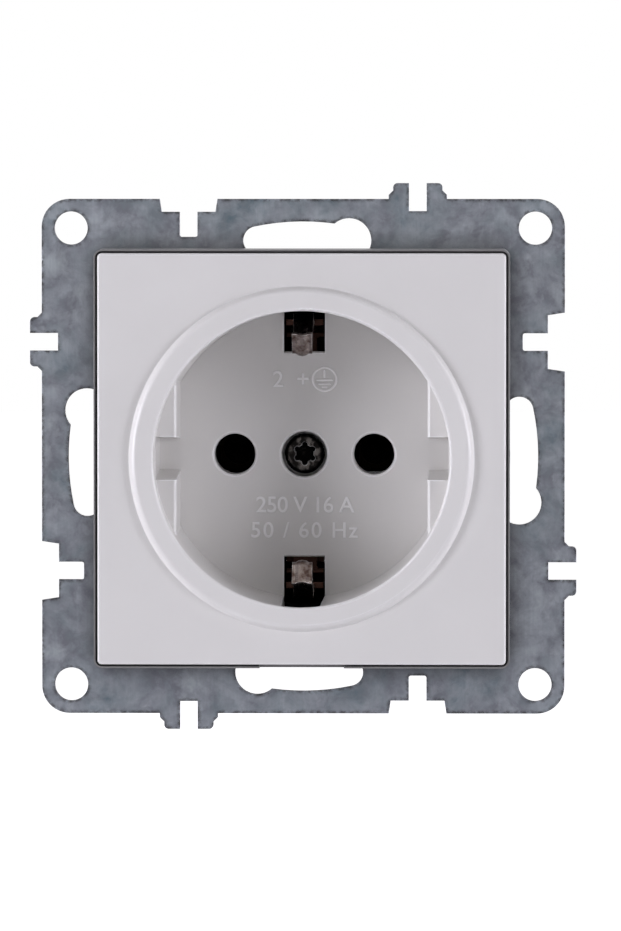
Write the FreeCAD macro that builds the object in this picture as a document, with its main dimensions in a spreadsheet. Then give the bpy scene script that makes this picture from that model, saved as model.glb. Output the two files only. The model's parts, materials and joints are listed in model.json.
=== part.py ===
import FreeCAD, Part
import Sketcher
import math
import os
import re

# Earthed wall socket insert, two round pins and two sprung earth clips.
# The front faces -Y, +Z is up and +X is to the right. The origin lies on the
# socket axis in the rear face of the steel ring, where the wall is.

Vector = FreeCAD.Vector

SIZES = [
    # steel ring that is screwed to the wall box
    ("ring_width", 71.0, "steel ring, left to right"),
    ("ring_height", 69.9, "steel ring, top to bottom"),
    ("ring_sheet", 1.0, "sheet of the steel ring"),
    ("ring_corner", 3.75, "corner radius of the steel ring"),
    ("fixing_side", 4.0, "corner holes from the ring's left and right edges"),
    ("fixing_end", 3.95, "corner holes from the ring's top and bottom edges"),
    ("fixing_radius", 2.25, "corner hole"),
    ("box_radius", 30.0, "centre line of the keyhole slots, 60 mm box screws"),
    ("box_slot_half", 1.9, "half the width of a keyhole slot"),
    ("box_slot_angle", 12.0, "half the angle that a keyhole slot spans"),
    ("box_head_radius", 3.0, "round end of a keyhole slot"),
    ("ear_place", 15.55, "middle of a coupling ear along its side"),
    ("end_trim", 0.55, "top and bottom edges inside the square of the couplings"),
    ("ear_reach", 1.6, "tip of a coupling ear outside the square of the couplings"),
    ("ear_half", 3.35, "half the width of an ear at its tip"),
    ("ear_flare", 0.6, "how much wider an ear's foot is on each side"),
    ("ear_slot_half", 1.2, "half the slot between an ear's two prongs"),
    ("ear_slot_inset", 2.2, "floor of the slot in an ear inside that square"),
    ("notch_depth", 2.3, "floor of a coupling notch inside that square"),
    ("notch_play", 0.3, "how much wider a notch is than an ear on each side"),
    ("notch_slot_depth", 3.4, "narrow slot behind a notch"),
    ("notch_slot_round", 0.3, "corners of that narrow slot"),
    # moulded cover with ring and plug well
    ("cover_width", 55.1, "cover, left to right"),
    ("cover_height", 55.5, "cover, top to bottom"),
    ("cover_corner", 0.6, "corner radius of the cover"),
    ("cover_edge", 0.3, "rounded front edge of the cover"),
    ("cover_wall", 2.1, "thickness of the cover's face"),
    ("face_stand", 10.0, "how far the cover's face stands ahead of the wall"),
    ("collar_rise", 1.0, "how far the round collar stands ahead of the face"),
    ("collar_land", 2.75, "front of the collar, from the mouth of the well outward"),
    ("collar_draft", 0.55, "how much wider the collar is at the face"),
    ("collar_round", 0.7, "rounded shoulder of the collar"),
    ("rim_radius", 20.0, "plug well at its mouth"),
    ("rim_round", 0.35, "rounded mouth of the well"),
    ("well_depth", 17.5, "depth of the plug well"),
    ("well_draft", 0.4, "how much narrower the well is at its floor"),
    ("pot_wall", 1.6, "wall of the plug well"),
    ("floor_sheet", 1.8, "floor of the plug well"),
    ("key_width", 3.05, "how far the guide blocks stand into the well"),
    ("key_drop", 3.4, "front of the guide blocks below the collar"),
    ("key_round", 0.45, "rounded front edge of the guide blocks"),
    ("key_groove_half", 2.9, "half the groove in the guide blocks, at the front"),
    ("key_groove_taper", 0.7, "how much narrower that groove is at the floor"),
    ("key_groove_skin", 0.2, "what the groove leaves inside the mouth of the well"),
    ("clip_window_half", 2.8, "half the width of a window for an earth clip"),
    ("clip_window_depth", 6.0, "inner end of a window from the mouth of the well"),
    ("clip_window_corner", 0.65, "cut corner of the lower window"),
    ("window_edge", 0.22, "chamfer round the windows and holes in the floor"),
    ("pin_spacing", 19.0, "between the two pin holes"),
    ("pin_hole_radius", 2.8, "pin hole"),
    ("pin_length", 19.0, "pins of the plug"),
    ("pin_room", 2.5, "free depth past the tip of a pin"),
    ("pin_collar_wall", 1.3, "wall of the tube behind a pin hole"),
    ("brace_sheet", 1.2, "braces behind the cover's face"),
    ("brace_reach", 32.0, "outer end of a brace from the axis"),
    # frame between the cover and the steel ring
    ("lip_gap", 0.28, "gap round the cover"),
    ("lip_wall", 0.24, "thin lip round the cover"),
    ("lip_drop", 0.5, "lip below the cover's face"),
    ("frame_wall", 1.5, "side walls of the frame"),
    ("frame_web", 1.2, "web of the frame on the steel ring"),
    ("pry_half", 5.7, "half the pry notch at the bottom"),
    ("pry_depth", 2.4, "pry notch, front to back"),
    # base
    ("play", 0.1, "clearance between fixed pieces"),
    ("pot_gap", 0.4, "clearance round the plug well"),
    ("spigot_wall", 0.9, "rim of the cup that passes through the steel ring"),
    ("spigot_stand", 1.4, "that rim ahead of the steel ring"),
    ("cup_wall", 1.4, "wall of the cup round the plug well"),
    ("flange_sheet", 3.0, "flange of the cup behind the steel ring"),
    ("flange_step", 0.8, "flange past the rear block"),
    ("rivet_margin", 4.0, "least distance of a rivet from the flange's side"),
    ("flange_corner", 7.5, "corner radius of the flange"),
    ("block_corner", 11.0, "corner radius of the rear block"),
    ("rear_wall", 2.0, "rear wall of the block"),
    ("seat_step", 1.4, "ledge that carries the well's rear edge"),
    ("insulator_sheet", 1.8, "cover plate of the contact chambers"),
    ("chamber_room", 0.7, "room beside the contact in its chamber"),
    ("bay_half", 4.8, "half the width of a terminal bay"),
    ("bay_roof", 1.6, "wall over the terminal bays"),
    ("block_round", 0.9, "rounded rear edge of the block"),
    ("entry_funnel", 0.5, "funnel at the mouth of a wire entry"),
    ("rib_angle", 31.0, "ribs beside the cup, from the nearest axis"),
    ("rib_reach", 1.3, "how far these ribs stand out of the cup"),
    ("rib_sheet", 1.2, "thickness of these ribs"),
    ("peg_radius", 1.2, "pegs that locate the cup on the rear block"),
    ("peg_length", 3.0, "length of these pegs"),
    # rivets that hold the steel ring on the base
    ("rivet_radius", 1.6, "shank of a rivet"),
    ("rivet_bore", 0.9, "bore of a hollow rivet"),
    ("rivet_head", 2.2, "head of a rivet"),
    ("rivet_head_sheet", 0.6, "thickness of a rivet's heads"),
    # line contacts
    ("leaf_sheet", 0.6, "leaves of a line contact"),
    ("leaf_width", 6.0, "width of the leaves"),
    ("leaf_root_half", 2.9, "half the space between the leaves at the root"),
    ("leaf_pinch_half", 2.3, "half the space where the leaves grip"),
    ("leaf_pinch_place", 3.4, "grip behind the front end of the leaves"),
    ("leaf_straight", 6.5, "straight root of the leaves"),
    ("web_hole", 2.3, "hole for the tip of a pin in the web behind the leaves"),
    ("leaf_gap", 0.6, "front end of the leaves behind the insulator"),
    ("tail_gap", 0.8, "between the outer leaf and the terminal tail"),
    ("tail_sheet", 1.2, "terminal tail of a contact"),
    ("tail_width", 8.6, "width of a terminal tail"),
    ("spring_sheet", 0.4, "steel spring round the leaves"),
    ("spring_width", 3.6, "length of that spring along the pin"),
    ("spring_mouth_half", 1.4, "half the opening of that spring"),
    # screw terminals
    ("wire_radius", 1.45, "wire entry holes"),
    ("wire_gap", 3.0, "between tail and clamp plate"),
    ("clamp_sheet", 1.0, "clamp plate"),
    ("clamp_half", 4.3, "half the width of a clamp plate"),
    ("clamp_length_half", 3.6, "half the length of a clamp plate"),
    ("clamp_corner", 0.85, "corner radius of a clamp plate"),
    ("clamp_lip", 0.9, "turned-down lip of a clamp plate"),
    ("screw_radius", 1.7, "shank of the M3.5 screws"),
    ("screw_play", 0.06, "clearance round a screw's shank"),
    ("terminal_head", 2.9, "head of a terminal screw"),
    ("terminal_head_sheet", 2.1, "height of a terminal screw's head"),
    ("terminal_recess", 0.5, "head of a terminal screw inside the side face"),
    ("slot_half", 0.45, "half the driver slot"),
    ("slot_depth", 1.1, "depth of the driver slot"),
    # earth strip with its clips, and its terminal
    ("strip_sheet", 0.8, "earth strip"),
    ("strip_width", 5.1, "width of the earth strip"),
    ("neck_half", 1.6, "half the width of the necks in the earth strip"),
    ("neck_start", 11.4, "inner end of a neck from the axis"),
    ("neck_round", 0.4, "corners of a neck"),
    ("arm_foot_inset", 3.2, "bend at the foot of an earth arm inside the mouth of the well"),
    ("arm_inset", 2.0, "front end of an earth arm inside the mouth of the well"),
    ("arm_bend_sink", 2.1, "bend at the top of an earth arm behind the floor"),
    ("arm_sink", 1.1, "front end of an earth arm behind the floor"),
    ("clip_sheet", 0.42, "sheet of a clip"),
    ("clip_width", 2.7, "width of a clip"),
    ("bead_shoulder", 0.24, "height of a clip's pressed bead at its shoulders"),
    ("bead_crown", 0.34, "height of that bead in its middle"),
    ("bead_half", 0.5, "shoulders of that bead from its middle"),
    ("bead_side", 0.42, "sloping side of that bead"),
    ("shoulder_inset", 0.7, "outer bend of a clip inside the mouth of the well"),
    ("shoulder_rise", 4.9, "outer bend of a clip ahead of the floor"),
    ("nose_inset", 6.0, "nose of a clip inside the mouth of the well"),
    ("nose_depth", 5.0, "nose of a clip below the collar"),
    ("tip_inset", 3.05, "free end of a clip inside the mouth of the well"),
    ("tip_depth", 2.6, "free end of a clip below the collar"),
    ("bend_radius", 0.9, "bends of the earth strip"),
    ("lug_head", 4.0, "upper end of the earth terminal strip above the axis"),
    ("fastener_place", 8.5, "screws of the earth strip above and below the axis"),
    ("fastener_radius", 1.25, "shank of these screws"),
    ("fastener_head", 2.1, "head of these screws"),
    ("fastener_head_sheet", 1.3, "height of these heads"),
    ("fastener_slot_half", 0.3, "half the driver slot of these screws"),
    ("fastener_slot_depth", 0.6, "depth of that driver slot"),
    ("fastener_length", 9.0, "these screws in the base"),
    # centre screw and its nut
    ("head_radius", 2.72, "head of the centre screw"),
    ("head_sheet", 2.2, "height of that head"),
    ("head_round", 0.55, "rounded edge of that head"),
    ("head_recess", 1.3, "that head below the floor of the well"),
    ("head_hole", 3.1, "hole for that head"),
    ("seat_sheet", 1.0, "boss under that head"),
    ("boss_wall", 1.3, "wall of that boss"),
    ("star_outer", 1.62, "six-lobed recess, to the tips of its lobes"),
    ("star_lobe", 0.42, "radius of a lobe"),
    ("star_core", 1.22, "core of the six-lobed recess"),
    ("star_depth", 1.3, "depth of the six-lobed recess"),
    ("nut_radius", 2.7, "round nut of the centre screw"),
    ("nut_length", 4.0, "length of that nut"),
    ("tip_room", 3.0, "shank of the centre screw past its nut"),
    ("screw_point", 0.85, "cone at the end of that shank"),
]

NEAR = 1e-3  # how close two places are taken as the same

doc = FreeCAD.newDocument("socket")
sheet = doc.addObject("Spreadsheet::Sheet", "Sizes")
for row, (alias, size, meaning) in enumerate(SIZES, start=1):
    sheet.set("A%d" % row, meaning)
    sheet.set("B%d" % row, str(size))
    sheet.setAlias("B%d" % row, alias)
doc.recompute()

known = {alias for alias, size, meaning in SIZES}
pieces = []


def cell(text):
    """An expression on the sheet's cells, from words such as pot_wall + play."""
    return re.sub(r"[a-z_]+", lambda word: "Sizes." + word.group() if word.group() in known
                  else word.group(), text)


def value(text):
    return float(sheet.evalExpression(cell(text)))


def body(name):
    piece = doc.addObject("PartDesign::Body", name)
    piece.Label = name
    pieces.append(piece)
    return piece


def origin_plane(piece, role):
    return next(f for f in piece.Origin.OriginFeatures if f.Role == role)


def sketch_on(piece, role, title, distance="0"):
    """A sketch parallel to one of the piece's own origin planes."""
    sketch = piece.newObject("Sketcher::SketchObject", title)
    sketch.AttachmentSupport = [(origin_plane(piece, role), "")]
    sketch.MapMode = "FlatFace"
    sketch.setExpression("AttachmentOffset.Base.z", cell(distance))
    return sketch


def pin_point(sketch, geometry, position, x=None, y=None):
    """Ties one point of the geometry to an expression across and one upward."""
    for kind, text in (("DistanceX", x), ("DistanceY", y)):
        if text is None:
            continue
        number = sketch.addConstraint(Sketcher.Constraint(kind, -1, 1, geometry, position, value(text)))
        sketch.renameConstraint(number, "place%d" % number)
        sketch.setExpression("Constraints.place%d" % number, cell(text))


def pin_radius(sketch, geometry, text):
    number = sketch.addConstraint(Sketcher.Constraint("Radius", geometry, value(text)))
    sketch.renameConstraint(number, "radius%d" % number)
    sketch.setExpression("Constraints.radius%d" % number, cell(text))


def rounding(before, corner, after, radius):
    """Start, middle and end of the arc that rounds a corner."""
    back = (before - corner).normalize()
    ahead = (after - corner).normalize()
    half = math.acos(max(-1.0, min(1.0, back.dot(ahead)))) / 2
    reach = radius / math.tan(half)
    centre = corner + (back + ahead).normalize() * (radius / math.sin(half))
    middle = centre + (corner - centre).normalize() * radius
    return corner + back * reach, middle, corner + ahead * reach


def draw(sketch, corners, closed=True):
    """Straight runs through the corners. A corner is x, y and, where rounded, its radius."""
    count = len(corners)
    spots = [Vector(value(corner[0]), value(corner[1]), 0) for corner in corners]
    arrive = list(spots)
    leave = list(spots)
    arcs = {}
    for i, corner in enumerate(corners):
        if len(corner) > 2:
            start, middle, end = rounding(spots[i - 1], spots[i], spots[(i + 1) % count], value(corner[2]))
            arrive[i], leave[i] = start, end
            arcs[i] = (start, middle, end)
    runs = []
    for i in range(count if closed else count - 1):
        run = Part.LineSegment(leave[i], arrive[(i + 1) % count])
        runs.append(sketch.addGeometry(run, False))
    for i, corner in enumerate(corners):
        before = runs[i - 1] if closed or i > 0 else None
        after = runs[i] if i < len(runs) else None
        if i not in arcs:
            if after is not None:
                pin_point(sketch, after, 1, corner[0], corner[1])
            else:
                pin_point(sketch, before, 2, corner[0], corner[1])
            if before is not None and after is not None:
                sketch.addConstraint(Sketcher.Constraint("Coincident", before, 2, after, 1))
            continue
        start, middle, end = arcs[i]
        arc = sketch.addGeometry(Part.Arc(start, middle, end), False)
        apex = sketch.addGeometry(Part.Point(spots[i]), True)
        pin_point(sketch, apex, 1, corner[0], corner[1])
        sketch.addConstraint(Sketcher.Constraint("PointOnObject", apex, 1, before))
        sketch.addConstraint(Sketcher.Constraint("PointOnObject", apex, 1, after))
        turns_left = (middle - start).cross(end - start).z > 0
        first, last = (1, 2) if turns_left else (2, 1)
        sketch.addConstraint(Sketcher.Constraint("Tangent", before, 2, arc, first))
        sketch.addConstraint(Sketcher.Constraint("Tangent", after, 1, arc, last))
        pin_radius(sketch, arc, corner[2])
    return runs


def loop(*corners):
    return lambda sketch: draw(sketch, corners)


def disc(radius, x="0", y="0"):
    def add(sketch):
        place = Vector(value(x), value(y), 0)
        circle = sketch.addGeometry(Part.Circle(place, Vector(0, 0, 1), value(radius)), False)
        pin_point(sketch, circle, 3, x, y)
        pin_radius(sketch, circle, radius)
    return add


def rectangle(left, right, low, high, radius=None):
    tail = (radius,) if radius else ()
    return loop((left, low) + tail, (right, low) + tail, (right, high) + tail, (left, high) + tail)


def centred(half_x, half_y, radius=None):
    return rectangle("-(%s)" % half_x, half_x, "-(%s)" % half_y, half_y, radius)


def slab(piece, title, front, rear, *outlines):
    """Material between two depths along Y."""
    sketch = sketch_on(piece, "XZ_Plane", title + "_sketch", "-(%s)" % rear)
    for outline in outlines:
        outline(sketch)
    pad = piece.newObject("PartDesign::Pad", title)
    pad.Profile = sketch
    pad.setExpression("Length", cell("(%s) - (%s)" % (rear, front)))
    return pad


def cut(piece, title, front, rear, *outlines):
    """A pocket between two depths along Y."""
    sketch = sketch_on(piece, "XZ_Plane", title + "_sketch", "-(%s)" % front)
    for outline in outlines:
        outline(sketch)
    pocket = piece.newObject("PartDesign::Pocket", title)
    pocket.Profile = sketch
    pocket.setExpression("Length", cell("(%s) - (%s)" % (rear, front)))
    return pocket


def side_slab(piece, title, inner, outer, *outlines):
    """Material between two distances along X, drawn in depth and height."""
    sketch = sketch_on(piece, "YZ_Plane", title + "_sketch", inner)
    for outline in outlines:
        outline(sketch)
    pad = piece.newObject("PartDesign::Pad", title)
    pad.Profile = sketch
    pad.setExpression("Length", cell("(%s) - (%s)" % (outer, inner)))
    return pad


def side_cut(piece, title, inner, outer, *outlines):
    """A pocket between two distances along X, drawn in depth and height."""
    sketch = sketch_on(piece, "YZ_Plane", title + "_sketch", outer)
    for outline in outlines:
        outline(sketch)
    pocket = piece.newObject("PartDesign::Pocket", title)
    pocket.Profile = sketch
    pocket.setExpression("Length", cell("(%s) - (%s)" % (outer, inner)))
    return pocket


def turned(piece, title, *corners):
    """A revolution about the Y axis of an outline in radius and depth."""
    sketch = sketch_on(piece, "XY_Plane", title + "_sketch")
    draw(sketch, corners)
    turn = piece.newObject("PartDesign::Revolution", title)
    turn.Profile = sketch
    turn.ReferenceAxis = (sketch, ["V_Axis"])
    turn.Angle = 360.0
    return turn


def around(piece, title, features, angle, copies):
    """Copies of the features about the Y axis."""
    doc.recompute()
    pattern = piece.newObject("PartDesign::PolarPattern", title)
    pattern.Originals = features
    pattern.Axis = (origin_plane(piece, "Y_Axis"), [""])
    pattern.Angle = angle
    pattern.Occurrences = copies
    piece.Tip = pattern
    return pattern


def mirrored(piece, title, features, role):
    doc.recompute()
    mirror = piece.newObject("PartDesign::Mirrored", title)
    mirror.Originals = features
    mirror.MirrorPlane = (origin_plane(piece, role), [""])
    piece.Tip = mirror
    return mirror


def edges(piece, wanted):
    """Names of the edges of the piece so far whose middle and box pass the test."""
    doc.recompute()
    shape = piece.Tip.Shape
    return ["Edge%d" % i for i, edge in enumerate(shape.Edges, start=1) if wanted(edge)]


def edge_finish(piece, kind, title, size, wanted):
    """A fillet or chamfer on the edges that pass the test."""
    names = edges(piece, wanted)
    base = piece.Tip
    finish = piece.newObject("PartDesign::" + kind, title)
    finish.Base = (base, names)
    finish.setExpression("Radius" if kind == "Fillet" else "Size", cell(size))
    piece.Tip = finish
    doc.recompute()
    return finish


def at_depth(edge, depth):
    box = edge.BoundBox
    return abs(box.YMin - depth) < NEAR and abs(box.YMax - depth) < NEAR


def on_circle(edge, radius, x="0"):
    """Whether the edge is an arc of that radius whose centre is that far to either side."""
    curve = edge.Curve
    return (isinstance(curve, Part.Circle) and abs(curve.Radius - value(radius)) < NEAR
            and abs(abs(curve.Center.x) - value(x)) < NEAR)


# Depths along Y, all from the wall towards the room (negative) or the box (positive).
sheet_front = "-ring_sheet"
face = "-face_stand"
collar = "-(face_stand + collar_rise)"
floor = "(well_depth - face_stand - collar_rise)"
floor_back = "(%s + floor_sheet)" % floor
key_front = "(%s + key_drop)" % collar
shoulder_front = "(%s - shoulder_rise)" % floor
arm_front = "(%s + arm_sink)" % floor
head_front = "(%s + head_recess)" % floor
head_seat = "(%s + head_sheet)" % head_front
strip_front = "(%s + seat_sheet)" % head_seat
strip_back = "(%s + strip_sheet)" % strip_front
lug_back = "(%s + strip_sheet)" % strip_back
deck = "(%s + insulator_sheet)" % strip_back
chamber_back = "(%s + pin_length + pin_room)" % floor
base_back = "(%s + rear_wall)" % chamber_back
bay_front = "(%s + bay_roof)" % deck
bay_middle = "((%s + %s) / 2)" % (bay_front, chamber_back)
leaf_front = "(%s + leaf_gap)" % deck
cover_back = "(%s + cover_wall)" % face

# Radii and distances that follow from the well, the pins and the clearances.
collar_top = "(rim_radius + collar_land)"
collar_foot = "(%s + collar_draft)" % collar_top
key_chord = "(rim_radius - key_width)"
window_start = "(rim_radius - clip_window_depth)"
arm_place = "(rim_radius - arm_inset)"
pot_outer = "(rim_radius + pot_wall)"
cup_bore = "(%s + pot_gap)" % pot_outer
spigot = "(%s + spigot_wall)" % cup_bore
cup_outer = "(%s + cup_wall)" % cup_bore
seat_bore = "(%s - seat_step)" % cup_bore
pin_place = "(pin_spacing / 2)"
pin_collar = "(pin_hole_radius + pin_collar_wall)"
leaf_outer = "(leaf_root_half + leaf_sheet)"
tail_inner = "(%s + %s + tail_gap)" % (pin_place, leaf_outer)
tail_outer = "(%s + tail_sheet)" % tail_inner
wire_place = "(%s + wire_gap / 2)" % tail_outer
wire_side = "(screw_radius + wire_radius)"
clamp_inner = "(%s + wire_gap)" % tail_outer
clamp_outer = "(%s + clamp_sheet)" % clamp_inner
terminal_front = "(%s + terminal_head_sheet)" % clamp_outer
block_half = "(%s + terminal_recess)" % terminal_front
rivet_place = "((%s + rivet_head + play) * sqrt(0.5))" % cup_outer
peg_place = "((%s + %s) / 2 * sqrt(0.5))" % (seat_bore, cup_outer)
flange_half = "max(%s + flange_step; %s + rivet_margin)" % (block_half, rivet_place)
shank_hole = "(screw_radius + screw_play)"
chamber_half = "(tail_width / 2 + 2 * play)"


def mounting_ring():
    """Sheet steel ring with coupling ears and notches, the same at each side."""
    piece = body("mounting_frame")
    slab(piece, "sheet", sheet_front, "0",
         centred("ring_width / 2", "ring_height / 2", "ring_corner"),
         disc("(%s + play)" % spigot))
    couplings(piece, "side", "ring_width / 2", lambda along, out: (out, "-(%s)" % along))
    couplings(piece, "end", "(ring_height / 2 + end_trim)", lambda along, out: (along, out))

    slot_sketch = sketch_on(piece, "XZ_Plane", "box_slot_sketch", "ring_sheet")
    across = "box_radius * sin(box_slot_angle * 1 deg)"
    upward = "box_radius * cos(box_slot_angle * 1 deg)"
    arc_slot(slot_sketch, "box_radius", "box_slot_half", across, upward)
    slot = piece.newObject("PartDesign::Pocket", "box_slot")
    slot.Profile = slot_sketch
    slot.setExpression("Length", cell("ring_sheet"))
    around(piece, "box_slots", [slot], 360.0, 4)
    head = cut(piece, "box_head", sheet_front, "0", disc("box_head_radius", across, upward))
    around(piece, "box_heads", [head], 360.0, 4)

    across, upward = "(ring_width / 2 - fixing_side)", "(ring_height / 2 - fixing_end)"
    corners = [(sx + across, sy + upward) for sx in ("", "-") for sy in ("", "-")]
    cut(piece, "fixing_holes", sheet_front, "0", *[disc("fixing_radius", x, y) for x, y in corners])
    cut(piece, "rivet_holes", sheet_front, "0", *rivet_discs("rivet_radius + screw_play"))


def couplings(piece, title, edge, place):
    """Ear and notch on one edge of the ring and, by half a turn, on the opposite edge."""
    tip = "%s + ear_reach" % edge
    ear_slot_floor = "%s - ear_slot_inset" % edge
    notch_floor = "%s - notch_depth" % edge
    notch_slot_floor = "%s - notch_slot_depth" % notch_floor

    def outline(*corners):
        return loop(*[place(along, out) + tuple(radius) for along, out, *radius in corners])

    ear = slab(piece, title + "_ear", sheet_front, "0", outline(
        ("ear_place - ear_half - ear_flare", notch_floor),
        ("ear_place - ear_half - ear_flare", edge),
        ("ear_place - ear_half", "%s + ear_flare" % edge),
        ("ear_place - ear_half", tip, "ear_flare"),
        ("ear_place + ear_half", tip, "ear_flare"),
        ("ear_place + ear_half", "%s + ear_flare" % edge),
        ("ear_place + ear_half + ear_flare", edge),
        ("ear_place + ear_half + ear_flare", notch_floor)))
    around(piece, title + "_ears", [ear], 360.0, 2)
    ear_slot = cut(piece, title + "_ear_slot", sheet_front, "0", outline(
        ("ear_place - ear_slot_half", ear_slot_floor),
        ("ear_place + ear_slot_half", ear_slot_floor),
        ("ear_place + ear_slot_half", "%s + play" % tip),
        ("ear_place - ear_slot_half", "%s + play" % tip)))
    around(piece, title + "_ear_slots", [ear_slot], 360.0, 2)
    notch = cut(piece, title + "_notch", sheet_front, "0", outline(
        ("-ear_place - ear_half - notch_play", notch_floor),
        ("-ear_place - ear_slot_half", notch_floor),
        ("-ear_place - ear_slot_half", notch_slot_floor, "notch_slot_round"),
        ("-ear_place + ear_slot_half", notch_slot_floor, "notch_slot_round"),
        ("-ear_place + ear_slot_half", notch_floor),
        ("-ear_place + ear_half + notch_play", notch_floor),
        ("-ear_place + ear_half + notch_play + ear_flare", tip),
        ("-ear_place - ear_half - notch_play - ear_flare", tip)))
    around(piece, title + "_notches", [notch], 360.0, 2)


def arc_slot(sketch, radius, half, across, upward):
    """A slot with round ends along an arc about the origin, symmetric about the vertical."""
    middle, width = value(radius), value(half)
    angle = math.atan2(value(across), value(upward))
    up = math.pi / 2
    axis = Vector(0, 0, 1)
    ends = [Vector(side * value(across), value(upward), 0) for side in (1, -1)]
    outer_circle = Part.Circle(Vector(), axis, middle + width)
    inner_circle = Part.Circle(Vector(), axis, middle - width)
    outer = sketch.addGeometry(Part.ArcOfCircle(outer_circle, up - angle, up + angle), False)
    inner = sketch.addGeometry(Part.ArcOfCircle(inner_circle, up - angle, up + angle), False)
    right = sketch.addGeometry(Part.ArcOfCircle(
        Part.Circle(ends[0], axis, width), up - angle - math.pi, up - angle), False)
    left = sketch.addGeometry(Part.ArcOfCircle(
        Part.Circle(ends[1], axis, width), up + angle, up + angle + math.pi), False)
    for arc, text in ((outer, "(%s) + (%s)" % (radius, half)), (inner, "(%s) - (%s)" % (radius, half))):
        sketch.addConstraint(Sketcher.Constraint("Coincident", arc, 3, -1, 1))
        pin_radius(sketch, arc, text)
    for end, place, first, last in ((right, across, 2, 1), (left, "-(%s)" % across, 1, 2)):
        pin_point(sketch, end, 3, x=place)
        sketch.addConstraint(Sketcher.Constraint("Tangent", outer, last, end, first))
        sketch.addConstraint(Sketcher.Constraint("Tangent", inner, last, end, last))


def rivet_discs(radius):
    return [disc(radius, sx + rivet_place, sy + rivet_place) for sx in ("", "-") for sy in ("", "-")]


def cover():
    """One moulding: square face, round collar, plug well with its guide blocks."""
    piece = body("cover_plate")
    boss = "(head_hole + boss_wall)"
    turned(piece, "well",
           ("head_hole", floor),
           ("rim_radius - well_draft", floor),
           ("rim_radius", collar, "rim_round"),
           (collar_top, collar, "collar_round"),
           (collar_foot, face),
           (collar_foot, cover_back),
           (pot_outer, cover_back),
           (pot_outer, floor_back),
           (boss, floor_back),
           (boss, strip_front),
           (shank_hole, strip_front),
           (shank_hole, head_seat),
           ("head_hole", head_seat))
    slab(piece, "face", face, cover_back,
         centred("cover_width / 2", "cover_height / 2", "cover_corner"),
         disc("(%s + %s) / 2" % (collar_foot, pot_outer)))
    key = guide_block(piece)
    mirrored(piece, "guide_blocks", [key], "YZ_Plane")
    groove = side_cut(piece, "groove", "%s - play" % key_chord, "rim_radius - key_groove_skin", loop(
        (key_front + " - play", "-key_groove_half"),
        (floor, "-(key_groove_half - key_groove_taper)"),
        (floor, "key_groove_half - key_groove_taper"),
        (key_front + " - play", "key_groove_half")))
    mirrored(piece, "grooves", [groove], "YZ_Plane")

    cut(piece, "upper_window", face, "%s + play" % floor_back, rectangle(
        "-clip_window_half", "clip_window_half", window_start, pot_outer + " + play"))
    cut(piece, "lower_window", face, "%s + play" % floor_back, loop(
        ("-clip_window_half", "-(%s + play)" % pot_outer),
        ("clip_window_half - clip_window_corner", "-(%s + play)" % pot_outer),
        ("clip_window_half - clip_window_corner", "-(rim_radius + clip_window_corner)"),
        ("clip_window_half", "-(rim_radius - clip_window_corner)"),
        ("clip_window_half", "-" + window_start),
        ("-clip_window_half", "-" + window_start)))

    pins = (pin_place, "-" + pin_place)
    slab(piece, "pin_collars", floor_back, "%s - play" % strip_back, *[disc(pin_collar, x) for x in pins])
    cut(piece, "pin_holes", floor, strip_back, *[disc("pin_hole_radius", x) for x in pins])
    brace = diagonal_brace(piece)
    around(piece, "braces", [brace], 360.0, 4)
    cover_edges(piece)


def guide_block(piece):
    """Segment between a chord and the wall of the well."""
    middle = "(rim_radius + pot_wall / 2)"
    sketch = sketch_on(piece, "XZ_Plane", "guide_block_sketch", "-" + floor_back)
    radius, chord = value(middle), value(key_chord)
    half = math.sqrt(radius ** 2 - chord ** 2)
    angle = math.asin(half / radius)
    flat = sketch.addGeometry(Part.LineSegment(Vector(chord, half, 0), Vector(chord, -half, 0)), False)
    back = sketch.addGeometry(Part.ArcOfCircle(
        Part.Circle(Vector(), Vector(0, 0, 1), radius), -angle, angle), False)
    sketch.addConstraint(Sketcher.Constraint("Coincident", back, 3, -1, 1))
    pin_radius(sketch, back, middle)
    pin_point(sketch, flat, 1, x=key_chord)
    sketch.addConstraint(Sketcher.Constraint("Vertical", flat))
    sketch.addConstraint(Sketcher.Constraint("Coincident", flat, 1, back, 2))
    sketch.addConstraint(Sketcher.Constraint("Coincident", flat, 2, back, 1))
    pad = piece.newObject("PartDesign::Pad", "guide_block")
    pad.Profile = sketch
    pad.setExpression("Length", cell("%s - %s" % (floor_back, key_front)))
    return pad


def diagonal_brace(piece):
    """Rib from the well to a corner behind the face."""
    out = "brace_reach * sqrt(0.5)"
    start = "(%s - pot_wall / 2) * sqrt(0.5)" % pot_outer
    side = "brace_sheet / 2 * sqrt(0.5)"
    rear = "-(ring_sheet + spigot_stand + play)"
    return slab(piece, "brace", "%s - play" % cover_back, rear, loop(
        ("%s + %s" % (start, side), "%s - %s" % (start, side)),
        ("%s + %s" % (out, side), "%s - %s" % (out, side)),
        ("%s - %s" % (out, side), "%s + %s" % (out, side)),
        ("%s - %s" % (start, side), "%s + %s" % (start, side))))


def cover_edges(piece):
    """Rounded outer edge and guide blocks, small chamfers round the openings."""
    def outer_edge(edge):
        return at_depth(edge, value(face)) and not on_circle(edge, collar_foot)

    def key_edge(edge):
        box = edge.BoundBox
        upright = box.XLength < NEAR and abs(abs(box.XMin) - value(key_chord)) < NEAR
        return upright and at_depth(edge, value(key_front))

    def hole_edge(edge):
        if not at_depth(edge, value(floor)):
            return False
        box = edge.BoundBox
        window = box.ZLength < NEAR and abs(abs(box.ZMin) - value(window_start)) < NEAR
        return window or on_circle(edge, "pin_hole_radius", pin_place) or on_circle(edge, "head_hole")

    edge_finish(piece, "Fillet", "face_edge", "cover_edge", outer_edge)
    edge_finish(piece, "Fillet", "guide_edges", "key_round", key_edge)
    edge_finish(piece, "Chamfer", "hole_edges", "window_edge", hole_edge)


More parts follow.
